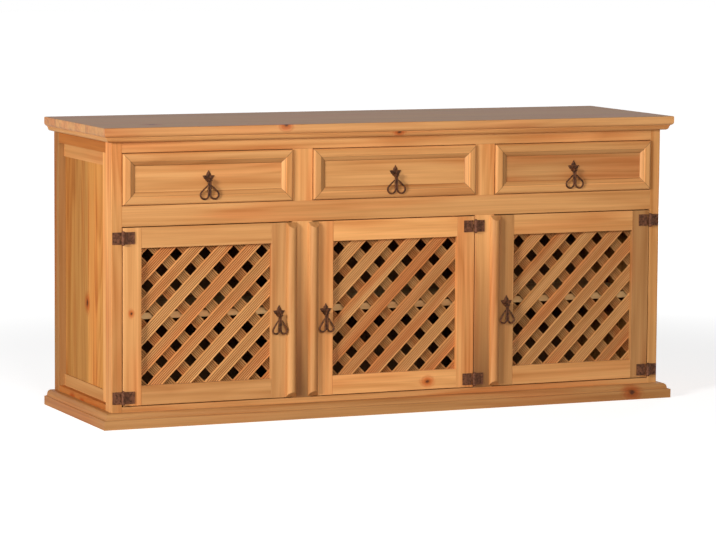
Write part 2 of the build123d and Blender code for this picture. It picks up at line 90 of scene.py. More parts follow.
def split(tree, vector):
    """A vector's three numbers."""
    return add(tree, "SeparateXYZ", {0: vector}).outputs


def span(tree, value, low, high, at_low, at_high, shape="LINEAR"):
    """A value carried over from between two levels to between two others, and held outside them."""
    return add(tree, "MapRange", {"Value": value, 1: low, 2: high, 3: at_low, 4: at_high},
               interpolation_type=shape)


def mixed(tree, factor, below, above, kind="MIX"):
    """Two colours mixed."""
    return add(tree, "Mix", {"Factor": factor, 6: below, 7: above}, data_type="RGBA",
               blend_type=kind).outputs[2]


def cloud(tree, place, fineness, detail, roughness):
    """Smooth noise, with a fineness of its own along each axis."""
    place = add(tree, "Mapping", {"Vector": place, "Scale": fineness})
    return add(tree, "TexNoise", {"Vector": place, "Scale": 1.0, "Detail": detail, "Roughness": roughness})


def new_material(name):
    """An empty material and its node tree."""
    material = bpy.data.materials.new(name)
    material.use_nodes = True
    material.node_tree.nodes.clear()
    return material, material.node_tree


def dress(material, *nodes):
    """Give CAD nodes a material."""
    for name in nodes:
        slots = frame["nodes"][name].data.materials
        slots.clear()
        slots.append(material)


def middle_of(node):
    """The middle of a CAD node's box."""
    low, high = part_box(node)
    return (low + high) / 2


# ---------------------------------------------------------------- pine
EARLY_WOOD = "#DA9E61"        # spring growth under honey stain
LATE_WOOD = "#AE6E35"         # summer growth
KNOT_CORE = "#5A2C14"
KNOT_RIM = "#A05622"
KNOT_HALO = "#E8AE8C"         # tint of the wood around a knot
RED_PATCH = "#FFD3BC"         # tint where the stain took redder
RAW = {"early": "#D6B27C", "late": "#B08450"}        # never stained, inside
DULL = {"rough": 0.65, "ior": 1.15}                  # oiled only, at the ends of the cabinet

# size and start of the pieces in a node
WHOLE = (20.0, -10.0)         # one piece
LEFT_RIGHT = (0.9, -0.9)      # one on each side of the middle
LOW_HIGH = (0.4, 0.0)         # one below and one above

# painted shade towards the floor, where less light falls: axis, dark and full
LOW_FRONT_SHADE = (Z, 0.08, 0.5)
LOW_END_SHADE = (Z, 0.1, 0.6)

# how fine a pattern is along the grain, across it and through the board, per metre
GROWTH = (0.7, 10.0, 10.0)
PATCHES = (2.2, 16.0, 16.0)
STREAKS = (1.8, 62.0, 62.0)
FIBRES = (4.0, 300.0, 300.0)  # real ones are 0.05 mm, drawn as streaks of 2 to 4 mm so that they show
RAGGED = (110.0, 110.0, 110.0)                       # outlines of knots

# levels of the patterns
MOST = (0.25, 0.75)           # most of a noise lies between them
UNEVEN = (0.35, 0.65)         # growth lines show from faintest to full
FAINTEST = 0.15
REDDER = (0.42, 0.70)         # the stain takes from honey to redder
STREAK_DEPTH = (-0.12, 0.62)  # share of summer growth in the streaks
LINE_START, LINE_PEAK = 0.15, 0.78                   # in the period of a growth line

# tones against the wood around
PIECE_TONES = (0.93, 1.07)    # from piece to piece
FIBRE_TONES = (0.92, 1.06)
END_TONE = 0.78               # cut ends, which drink more stain
GLUE_TONE = 0.5
CORNER_SHADE = 0.5             # painted shade in the inner corner of a moulding
# painted shade in a moulding's hollow, and a painted highlight on its crest
HOLLOW_SHADE = -0.22
CREST_HIGHLIGHT = 0.14
REED_HIGHLIGHT = 1.15              # painted highlight between the cuts

# how far a face has to turn before it counts, as a part of its normal
END_TURN = (0.55, 0.8)
UP_TURN = (0.6, 0.95)

KNOT_SHORT = 0.75             # a knot's width over its length
KNOT_BEND = 0.18              # how far growth lines bend round it
NO_KNOT = 50.0                # knot radii, far enough to be out of sight
WILD_KNOTS = 5.0              # squares with a chance of a knot, per metre
WILD_SIZES = (0.025, 0.06)    # least and greatest radius of those knots, in squares

SEED_STEPS = (1.0, 0.37, 1.71)                       # what a seed adds to the key of a piece
JUMP = (7.0, 3.0, 3.0)        # greatest distance between the woods of two pieces
REEDED = 2.3                  # half of a strip's reeded width, in pitches

STICK = 0.0335                # width of a drawer's moulding
CREST = 0.0200                # its outer edge to its crest
HOLLOW = 0.0224               # and to the hollow beside the crest
ROUND_EDGE = 0.0005           # margin at each side of its inner round
HAND_CUT = 0.0055             # how much deeper that round looks than it was run


def in_order(tree, axis, letters):
    """A vector of the axes that the letters name."""
    return add(tree, "CombineXYZ", {i: axis["XYZ".index(letter)] for i, letter in enumerate(letters)})


def turned_grain(tree, wood, axis, letters, where):
    """Wood whose grain takes another way where the factor is 1."""
    return add(tree, "Mix", {"Factor": where, 4: wood, 5: in_order(tree, axis, letters)},
               data_type="VECTOR").outputs[1]


def mitred_sticks(tree, axis, wood, half_width, half_height, pitch, level):
    """Each stick of the mitred frames, with upright grain in the upright ones.

    Returns the stick's key, its wood, how far a point lies outside the frame's outer edge
    (so less than 0 on the stick), and how far it is from a mitre.
    """
    column = maths(tree, "ROUND", maths(tree, "DIVIDE", axis[X], pitch))
    sideways = maths(tree, "MULTIPLY_ADD", column, -pitch, axis[X])
    above = maths(tree, "SUBTRACT", axis[Z], level)
    beside = maths(tree, "SUBTRACT", maths(tree, "ABSOLUTE", sideways), half_width)
    over = maths(tree, "SUBTRACT", maths(tree, "ABSOLUTE", above), half_height)
    upright = maths(tree, "GREATER_THAN", beside, over)
    side = add(tree, "Mix", {"Factor": upright, 2: maths(tree, "SIGN", above),
                             3: maths(tree, "SIGN", sideways)}, data_type="FLOAT")
    key = add(tree, "CombineXYZ", {0: column, 1: upright, 2: side})
    wood = turned_grain(tree, wood, axis, "ZXY", upright)
    outside = maths(tree, "MAXIMUM", beside, over)
    mitre = maths(tree, "ABSOLUTE", maths(tree, "SUBTRACT", beside, over))
    return key, wood, outside, mitre


def moulding_shade_and_highlight(tree, outside):
    """Painted shade in the inner corner and the hollow, and a painted highlight on the crest."""
    tones = [span(tree, outside, -STICK, 0.0025 - STICK, CORNER_SHADE, 1.0)]
    for where, half_width, change in ((HOLLOW, 0.0009, HOLLOW_SHADE), (CREST, 0.0015, CREST_HIGHLIGHT)):
        line = maths(tree, "COMPARE", outside, -where, half_width)
        tones.append(maths(tree, "MULTIPLY_ADD", line, change, 1.0))
    return tones


def glue_line(tree, gap):
    """A thin dark line where two boards meet."""
    return span(tree, gap, 0.0004, 0.0016, GLUE_TONE, 1.0)


def reed_shade_and_highlight(tree, cells, width, pitch, cut_shade):
    """Painted shade in the cuts along the middle of each strip, and a painted highlight between them and on
    the strip's flat edges, which have no shade.
    """
    inside = maths(tree, "FRACT", split(tree, cells)[1])
    inside = maths(tree, "MULTIPLY_ADD", inside, width, -width / 2)
    flat = maths(tree, "SUBTRACT", maths(tree, "ABSOLUTE", inside), REEDED * pitch)
    cut = maths(tree, "MAXIMUM", maths(tree, "PINGPONG", inside, pitch / 2), flat)
    return span(tree, cut, 0.0004, 0.0018, cut_shade, REED_HIGHLIGHT)


def single_knots(tree, wood, knots, deep):
    """Distances in knot radii from knots at chosen places."""
    flat = vectors(tree, "MULTIPLY", wood, (KNOT_SHORT, 1, deep))
    gaps = []
    for along, across, through, radius in knots:
        gap = vectors(tree, "DISTANCE", flat, (along * KNOT_SHORT, across, through * deep))
        gaps.append(maths(tree, "DIVIDE", gap.outputs["Value"], radius))
    return gaps


def wild_knots(tree, wood, share):
    """Distance in knot radii from knots that lie in a share of the squares."""
    spots = add(tree, "TexVoronoi", {"Vector": wood, "Scale": WILD_KNOTS, "Randomness": 0.9},
                voronoi_dimensions="2D", feature="F1")
    drawn = add(tree, "SeparateColor", {0: spots.outputs["Color"]})
    absent = maths(tree, "GREATER_THAN", drawn, share)
    radius = span(tree, drawn.outputs[1], 0.0, 1.0, *WILD_SIZES)
    gap = maths(tree, "DIVIDE", spots.outputs["Distance"], radius)
    return maths(tree, "MULTIPLY_ADD", absent, NO_KNOT, gap)


def knot_zones(tree, wood, gaps):
    """The halo, rim and core of the nearest knot, with ragged outlines."""
    near = gaps[0]
    for gap in gaps[1:]:
        near = maths(tree, "MINIMUM", near, gap)
    near = maths(tree, "MULTIPLY_ADD", cloud(tree, wood, RAGGED, 2.0, 0.5), 0.7, near)
    return [span(tree, near, full, none, 1.0, 0.0, "SMOOTHSTEP")
            for full, none in ((1.1, 4.0), (1.0, 1.7), (0.7, 1.2))]


def growth_lines(tree, wood, rings, halo):
    """Level lines of a smooth field drawn out along the grain, bent round the knots."""
    field = cloud(tree, wood, GROWTH, 1.0, 0.3)
    if halo is not None:
        field = maths(tree, "MULTIPLY_ADD", halo, KNOT_BEND, field)
    phase = maths(tree, "FRACT", maths(tree, "MULTIPLY", field, rings * 2))
    line = add(tree, "ValToRGB", {0: phase})
    first, last = line.color_ramp.elements
    first.position = LINE_START
    first.color = colour("#000000")
    last.position = 1.0
    last.color = colour("#000000")
    line.color_ramp.elements.new(LINE_PEAK).color = colour("#FFFFFF")
    return line


def pine(name, grain, seed, early=EARLY_WOOD, late=LATE_WOOD, tone=1.0, dim=(), up_shade=1.0, warmth=0.5,
         along=WHOLE, across=WHOLE, through=WHOLE, turn=0.0, centre=(0, 0, 0), crossed=None, mitred=None,
         knots=(), deep=0.0, wild=0.0, rings=6.0, figure=0.4, glued=False, reeds=0.0, cut_shade=0.45,
         rough=0.46, ior=1.3):
    """Pine, planed, honey-stained and waxed: soft straight streaks, faint growth lines, a few knots.

    grain names the axes along the grain, across it and through the board, such as "XZY".
    seed draws the wood.
    early and late are the colours between and on the growth lines, and tone brightens both.
    dim lists (axis, dark, full, share): the tone falls to that share where the axis is at dark.
    up_shade is how dark faces that look up are painted, as shade, and warmth how red the patches are.
    along, across and through are the size and start of the node's pieces in the grain's
    directions; each piece has wood of its own.
    turn leans the grain about Y, and centre is the point that it turns about.
    crossed is the Y past which the pieces lie down, with their grain along Y.
    mitred is (half width, half height, pitch, level) of frames of mitred sticks.
    knots lists (along, across, through, radius) of single knots, which run through the board, or
    are cut short where deep is 1; wild is the share of 0.2 m squares that has one more.
    rings is the number of growth lines, and figure how strongly they show.
    glued draws the dark line where boards are glued edge to edge.
    reeds is the pitch of the cuts along the middle of each piece, and cut_shade how dark the painted shade in
    them is.
    """
    material, tree = new_material(name)
    place = add(tree, "TexCoord").outputs
    local = add(tree, "Mapping", {"Vector": place["Object"], "Location": centre, "Rotation": (0, turn, 0)},
                vector_type="TEXTURE")
    axis = split(tree, local)
    wood = in_order(tree, axis, grain)

    # which piece a point belongs to, and what darkens its edges
    sizes, starts = zip(along, across, through)
    cells = add(tree, "Mapping", {"Vector": wood, "Location": starts, "Scale": sizes}, vector_type="TEXTURE")
    key = vectors(tree, "FLOOR", cells)
    tones = []
    if mitred:
        key, wood, outside, mitre = mitred_sticks(tree, axis, wood, *mitred)
        tones += [*moulding_shade_and_highlight(tree, outside), glue_line(tree, mitre)]
    if glued:
        gap = maths(tree, "PINGPONG", split(tree, cells)[1], 0.5)
        tones.append(glue_line(tree, maths(tree, "MULTIPLY", gap, across[0])))
    if reeds:
        tones.append(reed_shade_and_highlight(tree, cells, across[0], reeds, cut_shade))
    if crossed is not None:
        wood = turned_grain(tree, wood, axis, "YZX", maths(tree, "GREATER_THAN", axis[Y], crossed))
    key = vectors(tree, "ADD", key, [seed * step for step in SEED_STEPS])
    chance = add(tree, "TexWhiteNoise", {"Vector": key}, noise_dimensions="3D")

    # single knots stay where they are told, and all else is drawn anew for each piece
    gaps = single_knots(tree, wood, knots, deep) if knots else []
    jump = vectors(tree, "MULTIPLY", chance.outputs["Color"], JUMP)
    wood = vectors(tree, "ADD", wood, jump)
    if wild:
        gaps.append(wild_knots(tree, wood, wild))
    halo = None
    if gaps:
        halo, rim, core = knot_zones(tree, wood, gaps)

    # growth lines fade in and out, as stain takes unevenly
    fibre = cloud(tree, wood, FIBRES, 3.0, 0.6)
    streak = cloud(tree, wood, STREAKS, 2.0, 0.55)
    patch = cloud(tree, wood, PATCHES, 2.0, 0.5)
    fade = span(tree, patch, *UNEVEN, FAINTEST * figure, figure)
    ring = maths(tree, "MULTIPLY", growth_lines(tree, wood, rings, halo), fade)
    ring = maths(tree, "ADD", ring, span(tree, streak, *MOST, *STREAK_DEPTH), use_clamp=True)
    body = mixed(tree, ring, colour(early), colour(late))
    red = span(tree, patch, *REDDER, 0.0, warmth, "SMOOTHSTEP")
    body = mixed(tree, red, body, colour(RED_PATCH), "MULTIPLY")
    if gaps:
        body = mixed(tree, halo, body, colour(KNOT_HALO), "MULTIPLY")
        body = mixed(tree, rim, body, colour(KNOT_RIM))
        body = mixed(tree, core, body, colour(KNOT_CORE))

    # a tone for each piece, and what makes it lighter or darker in places
    tones.append(span(tree, fibre, *MOST, *FIBRE_TONES))
    for way, dark, full, share in dim:
        tones.append(span(tree, split(tree, place["Object"])[way], dark, full, share, 1.0))
    # painted shade on faces that look up
    if up_shade != 1:
        tones.append(span(tree, split(tree, place["Normal"])[Z], *UP_TURN, 1.0, up_shade))
    if not mitred:
        facing = add(tree, "Mapping", {"Vector": place["Normal"], "Rotation": (0, turn, 0)},
                     vector_type="TEXTURE")
        end = maths(tree, "ABSOLUTE", split(tree, facing)["XYZ".index(grain[0])])
        tones.append(span(tree, end, *END_TURN, 1.0, END_TONE))
    shade = span(tree, chance, 0.0, 1.0, *[share * tone for share in PIECE_TONES])
    for change in tones:
        shade = maths(tree, "MULTIPLY", shade, change)
    body = add(tree, "VectorMath", {0: body, "Scale": shade}, operation="SCALE")

    # satin wax, a little glossier on summer growth, over grain that can just be felt
    satin = span(tree, ring, 0.0, 1.0, rough + 0.04, rough - 0.06)
    relief = maths(tree, "MULTIPLY_ADD", fibre, 0.5, ring)
    bump = add(tree, "Bump", {"Strength": 0.3, "Distance": 0.0004, "Height": relief})
    if mitred:
        fall = span(tree, outside, ROUND_EDGE - STICK, ROUND_EDGE - CREST, 0.0, HAND_CUT)
        bump = add(tree, "Bump", {"Strength": 1.0, "Distance": 1.0, "Height": fall, "Normal": bump})
    shader = add(tree, "BsdfPrincipled", {"Base Color": body, "Roughness": satin, "Normal": bump, "IOR": ior})
    add(tree, "OutputMaterial", {"Surface": shader})
    return material


def dress_face_frame():
    """Planed, stained and waxed bars and posts: broad soft grain, with painted shade towards the floor."""
    for node, title, seed, tone in (("top_rail", "top_rail", 1, 1.05), ("mid_rail", "middle_rail", 33, 0.96),
                                    ("bottom_rail", "bottom_rail", 34, 0.9)):
        dress(pine(f"stained_pine_{title}", "XZY", seed, tone=tone), node)

    # the fronts of the posts are painted darker than the left post's end face, as shade; that end face is as
    # pale as the trims beside it
    end_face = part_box("front_stile_left")[0].x
    fronts_shade = (X, end_face + 0.0035, end_face + 0.0007, 0.84)
    posts = pine("stained_pine_front_posts", "ZXY", 2, across=LEFT_RIGHT, tone=1.22,
                 dim=((*LOW_FRONT_SHADE, 0.85), fronts_shade), ior=1.12)
    dress(posts, "front_stile_left", "front_stile_right")
    posts = pine("stained_pine_rear_posts", "ZXY", 35, across=LEFT_RIGHT, tone=0.6, warmth=0.9, **DULL)
    dress(posts, "rear_posts")
    doors_drawers = (0.55, 0.0)
    # the mullions are painted much darker low down, as shade from the doors' battens
    mullions = pine("stained_pine_mullions", "ZXY", 3, along=doors_drawers, across=LEFT_RIGHT, tone=1.25,
                    dim=((*LOW_FRONT_SHADE, 0.35),))
    dress(mullions, "mullions")


def dress_top_and_mouldings():
    """A top of glued planks, waxed, with painted shade on its upper face; satin runs below it and along the
    floor.
    """
    plank, first_joint = 0.246, -0.0935
    planks = pine("waxed_pine_top", "XYZ", 4, across=(plank, first_joint - plank), glued=True, tone=1.08,
                  up_shade=0.46, knots=((-0.326, -0.244, 0.780, 0.006),), deep=1.0, wild=0.05, rough=0.54,
                  ior=1.46)
    dress(planks, "top_board")
    dress(pine("stained_pine_cornice", "XZY", 5, knots=((0.003, 0.755, -0.235, 0.005),)), "cornice_front")
    dress(pine("stained_pine_plinth", "XZY", 32, tone=0.75, knots=((0.71, 0.02, -0.24, 0.009),)),
          "plinth_front")
    runs = pine("stained_pine_side_mouldings", "YZX", 6, across=LOW_HIGH, through=LEFT_RIGHT, tone=0.95,
                dim=((*LOW_END_SHADE, 0.72),), ior=1.15)
    dress(runs, "cornice_sides", "plinth_sides")


def dress_ends():
    """Stained and oiled pine, duller than the front: reddish rails, lively panels and pale trims."""
    rails = pine("stained_pine_side_rails", "YZX", 7, "#CE7F3E", "#A85F26", across=LOW_HIGH,
                 through=LEFT_RIGHT, tone=0.76, warmth=0.8,
                 knots=((0.10, 0.035, -0.8, 0.007), (0.02, 0.033, -0.8, 0.006)), **DULL)
    dress(rails, "side_rails")
    panel_board = (0.25, -0.226)
    panels = pine("stained_pine_side_panels", "ZYX", 8, "#E5A358", "#B7712F", across=panel_board,
                  through=LEFT_RIGHT, tone=0.86, dim=((Y, 0.045, 0.005, 0.78),), rings=8.0, figure=0.55,
                  knots=((0.30, 0.03, -0.79, 0.008),), **DULL)
    dress(panels, "side_panels")

    # the lying trims start at the inner edge of the upright one at the front, and are darker
    upright_width, reach = 0.063, 0.5
    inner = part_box("side_trims")[0].y + upright_width
    trims = pine("stained_pine_side_trims", "ZYX", 31, across=(reach, inner - reach),
                 through=LEFT_RIGHT, crossed=inner, tone=1.4, figure=0.2,
                 dim=((Y, inner + 0.0025, inner - 0.0025, 0.68), (*LOW_END_SHADE, 0.86)), **DULL)
    dress(trims, "side_trims")


def dress_inside():
    """Sawn and rough: back boards and floor are painted dark inside, as shade; the shelf and runners are
    bare.
    """
    low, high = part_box("back_boards")
    board = (high.x - low.x) / 10
    # the inner faces of the back boards are painted dark, as shade inside the cabinet
    backs = pine("sawn_pine_back_boards", "ZXY", 9, across=(board, low.x), tone=0.85,
                 dim=((Y, 0.239, 0.246, 0.28),), wild=0.4, rough=0.7)
    dress(backs, "back_boards")
    plank = (0.14, -0.7)
    # the floor's low tone is painted shade inside the cabinet
    floor = pine("sawn_pine_floor", "XYZ", 10, across=plank, through=(0.2, -0.1), tone=0.34, wild=0.3,
                 rough=0.7)
    dress(floor, "floor_board", "inner_cleats")
    dress(pine("sawn_pine_shelf", "XYZ", 36, across=plank, tone=1.3, wild=0.2, rough=0.7, **RAW), "shelf")
    dress(pine("sawn_pine_runners", "YXZ", 11, across=(0.2, -1.0), rough=0.7, **RAW), "drawer_runners")


def dress_drawers():
    """Waxed fronts, each of a board of its own, in mitred mouldings; the boxes are sawn and bare."""
    low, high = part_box("drawer_2_moulding")
    half = (high - low) / 2
    pitch = middle_of("drawer_3_moulding").x
    sticks = pine("stained_pine_drawer_mouldings", "XZY", 13, tone=1.04, warmth=0.2, figure=0.25,
                  mitred=(half.x, half.z, pitch, low.z + half.z))
    case = pine("sawn_pine_drawer_boxes", "YXZ", 14, across=(0.2, -1.0), wild=0.2, rough=0.7, **RAW)
    for number, tone, warmth in ((1, 1.05, 0.5), (2, 1.05, 0.4), (3, 0.83, 0.8)):
        face = pine(f"stained_pine_drawer_{number}_front", "XZY", 40 + number, tone=tone, warmth=warmth)
        dress(face, f"drawer_{number}_front")
        dress(sticks, f"drawer_{number}_moulding")
        dress(case, f"drawer_{number}_box")


def dress_doors():
    """Waxed frames and turned battens, the stiles painted darker towards the right as shade; the lattice is
    satin, with painted shade in the cuts between its reeds and a painted highlight on them, and its back
    layer painted darker as shade.
    """
    lattice_pitch, reed_pitch = 0.08 / 2 ** 0.5, 0.005
    stile, batten = 0.267, 0.2665             # steps that hold one of them each
    knots_in_stiles = {1: ((0.298, -0.746, -0.218, 0.0035),)}
    knots_in_rails = {2: ((0.10, 0.078, -0.218, 0.006),)}
    turned = pine("turned_pine_battens", "ZXY", 17, across=(batten, -2 * batten), tone=0.88)
    # door, tone of the stiles, share of it at the right as painted shade, tone of the rails, tone of the
    # lattice and how dark the painted shade in its cuts is
    for number, stile_tone, right_shade, rail_tone, lattice_tone, cut_shade in (
            (1, 1.06, 0.84, 1.0, 1.0, 0.45),
            (2, 1.14, 1.0, 1.36, 0.86, 0.7),
            (3, 0.83, 0.82, 1.18, 0.8, 0.7)):
        middle = middle_of(f"door_{number}_stiles").x
        stiles = pine(f"stained_pine_door_{number}_stiles", "ZXY", 50 + number, across=(stile, -3 * stile),
                      tone=stile_tone, dim=((X, middle + 0.18, middle - 0.18, right_shade),),
                      knots=knots_in_stiles.get(number, ()))
        rails = pine(f"stained_pine_door_{number}_rails", "XZY", 60 + number, across=(0.3, 0.0),
                     tone=rail_tone, warmth=0.3, dim=((*LOW_FRONT_SHADE, 0.9),),
                     knots=knots_in_rails.get(number, ()))
        dress(stiles, f"door_{number}_stiles")
        dress(rails, f"door_{number}_rails")
        dress(turned, f"door_{number}_batten")
        # the back layer's lower tone is painted shade from the front strips
        for layer, lean, tone in (("front", -45, 0.93), ("back", 45, 0.6)):
            heart = middle_of(f"door_{number}_lattice_{layer}")
            strips = pine(f"reeded_pine_door_{number}_{layer}", "XZY", 70 + number * 3 + lean / 45,
                          across=(lattice_pitch, 0.0), turn=radians(lean), centre=(heart.x, 0, heart.z),
                          tone=tone * lattice_tone, warmth=0.7, figure=0.2, reeds=reed_pitch, cut_shade=cut_shade,
                          ior=1.2)
            dress(strips, f"door_{number}_lattice_{layer}")


dress_face_frame()
dress_top_and_mouldings()
dress_ends()
dress_inside()
dress_drawers()
dress_doors()


# ---------------------------------------------------------------- iron
HAMMER_MARKS = 230.0          # per metre
BLOOM = (160.0, 160.0, 160.0)


def forged_iron(name, scale, rust, beaten):
    """Wrought iron, hammered, browned and waxed: dark scale, a rusty bloom and brighter high spots.

    scale and rust are its two colours, and beaten is how deep the hammer marks look.
    """
    material, tree = new_material(name)
    place = add(tree, "TexCoord").outputs["Object"]
    hammer = add(tree, "TexVoronoi", {"Vector": place, "Scale": HAMMER_MARKS}, feature="SMOOTH_F1")
    bloom = cloud(tree, place, BLOOM, 4.0, 0.6)
    rusty = span(tree, bloom, 0.38, 0.62, 0.0, 1.0, "SMOOTHSTEP")
    relief = maths(tree, "MULTIPLY_ADD", bloom, 0.5, hammer)
    shader = add(tree, "BsdfPrincipled", {
        "Base Color": mixed(tree, rusty, colour(scale), colour(rust)),
        "Roughness": span(tree, rusty, 0.0, 1.0, 0.42, 0.62),
        "Metallic": span(tree, rusty, 0.0, 1.0, 0.4, 0.1),
        "Normal": add(tree, "Bump", {"Strength": beaten, "Distance": 0.0005, "Height": relief}),
        "IOR": 1.3})
    add(tree, "OutputMaterial", {"Surface": shader})
    return material


iron = forged_iron("wrought_iron_browned", "#341C0C", "#643A20", 0.6)
rubbed_iron = forged_iron("wrought_iron_rubbed", "#4A2C1A", "#72462F", 0.3)
dress(rubbed_iron, "hinge_frame_leaves", *[f"door_{number}_hinge_leaves" for number in (1, 2, 3)])


# ---------------------------------------------------------------- forged fittings
STAND = Matrix.Rotation(radians(90), 4, "X")     # lays a plate drawn flat against the front
ALONG_X = Matrix.Rotation(radians(90), 4, "Y")   # lays a pin drawn upright from left to right
SHARP = radians(40)           # edges bent more than this stay crisp
WELD = 0.00001                # corners closer than this become one

# backplates of the pulls
PIN_OUT = 0.0095              # pin in front of the wood
PIN_RADIUS = 0.0015
LUG = 0.0061                  # plate's middle to the middle of each lug
LUG_START = 0.001             # foot of a lug in front of the wood
LUG_FOOT, LUG_TOP = 0.0026, 0.0014               # radii of a lug
LUG_EYE = 0.0028              # radius of the round through which the pin goes
LEAVES = (                    # foot above the pin, length, width, turn in degrees
    (0.002, 0.0245, 0.0135, 0),
    (0.003, 0.0190, 0.0115, 62),
    (0.003, 0.0190, 0.0115, -62),
    (0.005, 0.0130, 0.0130, 180))
LEAF_POINT = 0.18             # share of a leaf's length that is drawn out to a point
LEAF_THICK = 0.0014
LEAF_RIM = 0.14               # share of its width
LEAF_RISE = 0.0008            # rim to dome
LEAF_DOME = 0.0007
PLATE_NAILS = (               # across from the pin, in front of the wood, above the pin, radius
    (-0.0115, 0.0026, 0.0092, 0.0017),
    (0.0115, 0.0026, 0.0092, 0.0017),
    (0.0, 0.0028, 0.0155, 0.0018))

# hanging drops
BAR = 0.0024                  # radius of the round bar
SHANK = 0.0026                # plate's middle to the middle of each shank
SHANK_TOP = 0.0030            # pin to the top of the shanks
LOOP_BACK = 0.0028            # shank's middle to where a loop comes back to it
NECK = 0.0135                 # pin down to that place
THINNER = ((0.6, 0.92), (0.4, 0.72))             # shares of the way back there, and slimmer by what
EYE = 0.0036                  # pin's middle to the middle of the eye's bar
EYE_BAR = 0.0019              # radius of that bar
PULL_LENGTH = 0.0515          # pin to the foot of the loops
LOOPS = {"drawer": 0.0125, "door": 0.010}        # half width of a loop

# hinges
HINGE_HEIGHT = 0.0315
HINGE_LEAF = 0.0025           # thickness
HINGE_NAIL = 0.0023           # radius of a head
NAIL_RISE = 0.009             # leaf's middle to each nail
FRAME_NAIL = 0.019            # pin to the nails in the frame
DOOR_NAIL = 0.022             # and to the nails in the door


def only(items, sort):
    """Those items that are of one bmesh type."""
    return [item for item in items if isinstance(item, sort)]


def edges_of(verts):
    """The edges that meet in some corners."""
    return list({edge for vert in verts for edge in vert.link_edges})


def finished(bm, name, body, *replaced):
    """Make a forged bmesh a piece that rides on a body, in place of the plain solids named."""
    bmesh.ops.remove_doubles(bm, verts=bm.verts, dist=WELD)
    bmesh.ops.recalc_face_normals(bm, faces=bm.faces)
    mesh = bpy.data.meshes.new(name)
    bm.to_mesh(mesh)
    bm.free()
    mesh.shade_smooth()
    mesh.set_sharp_from_angle(angle=SHARP)
    mesh.materials.append(iron)
    piece = bpy.data.objects.new(name, mesh)
    bpy.context.scene.collection.objects.link(piece)
    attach(piece, body)
    if replaced:
        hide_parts(*replaced)


def ball(bm, place, radius, squeeze, rounds):
    """A round, squeezed along some axes."""
    verts = bmesh.ops.create_uvsphere(bm, u_segments=10, v_segments=rounds, radius=radius)["verts"]
    bmesh.ops.scale(bm, verts=verts, vec=squeeze)
    bmesh.ops.translate(bm, verts=verts, vec=place)


def rod(bm, place, foot, top, length, sides, lay):
    """A round rod or lug about its middle."""
    verts = bmesh.ops.create_cone(bm, cap_ends=True, segments=sides, radius1=foot, radius2=top,
                                  depth=length, matrix=lay)["verts"]
    bmesh.ops.translate(bm, verts=verts, vec=place)


def nail_head(bm, place, radius):
    """A domed hand-made nail head."""
    ball(bm, place, radius, (1, 0.5, 1), 6)


def leaf(bm, place, length, width, turn):
    """One pointed leaf of a backplate, with a hammered dome and a filed rim."""
    before = set(bm.verts)
    ring = bmesh.ops.create_circle(bm, cap_ends=True, segments=12, radius=0.5)["verts"]
    face = ring[0].link_faces[0]
    oval = length * (1 - LEAF_POINT)
    bmesh.ops.scale(bm, verts=ring, vec=(width, oval, 1))
    bmesh.ops.translate(bm, verts=ring, vec=(0, oval / 2, 0))
    tip = max(ring, key=lambda vert: vert.co.y)
    bmesh.ops.translate(bm, verts=[tip], vec=(0, length * LEAF_POINT, 0))
    grown = bmesh.ops.extrude_face_region(bm, geom=[face])["geom"]
    bmesh.ops.translate(bm, verts=only(grown, bmesh.types.BMVert), vec=(0, 0, LEAF_THICK))
    crown = only(grown, bmesh.types.BMFace)
    bmesh.ops.inset_region(bm, faces=crown, thickness=width * LEAF_RIM, depth=LEAF_RISE)
    bmesh.ops.poke(bm, faces=crown, offset=LEAF_DOME)
    lay = Matrix.Translation(place) @ STAND @ Matrix.Rotation(radians(turn), 4, "Z")
    bmesh.ops.transform(bm, matrix=lay, verts=[vert for vert in bm.verts if vert not in before])


def pull_plate(name, pin):
    """Backplate: three leaves above, a rounded tail, two lugs and the pin between them."""
    bm = bmesh.new()
    x, y, z = pin
    wood = y + PIN_OUT
    for foot, length, width, turn in LEAVES:
        leaf(bm, (x, wood, z + foot), length, width, turn)
    for side in (-LUG, LUG):
        rod(bm, (x + side, wood - (PIN_OUT + LUG_START) / 2, z), LUG_FOOT, LUG_TOP, PIN_OUT - LUG_START,
            10, STAND)
        ball(bm, (x + side, y, z), LUG_EYE, (0.45, 1, 1), 8)
    for across, out, up, radius in PLATE_NAILS:
        nail_head(bm, (x + across, wood - out, z + up), radius)
    rod(bm, pin, PIN_RADIUS, PIN_RADIUS, LUG * 2, 12, ALONG_X)
    finished(bm, f"{name}_forged_plate", name, f"{name}_pull_plate")


def draw_bar(bm, rim, centre=(0, 0, 0), angle=0.0, steps=1, run=(0, 0, 0)):
    """Draw a bar on from its open rim, round a centre in the front plane or straight along a run."""
    grown = bmesh.ops.spin(bm, geom=only(rim, bmesh.types.BMEdge), cent=centre, axis=(0, 1, 0), dvec=run,
                           angle=angle, steps=steps, use_duplicate=False)
    return grown["geom_last"]


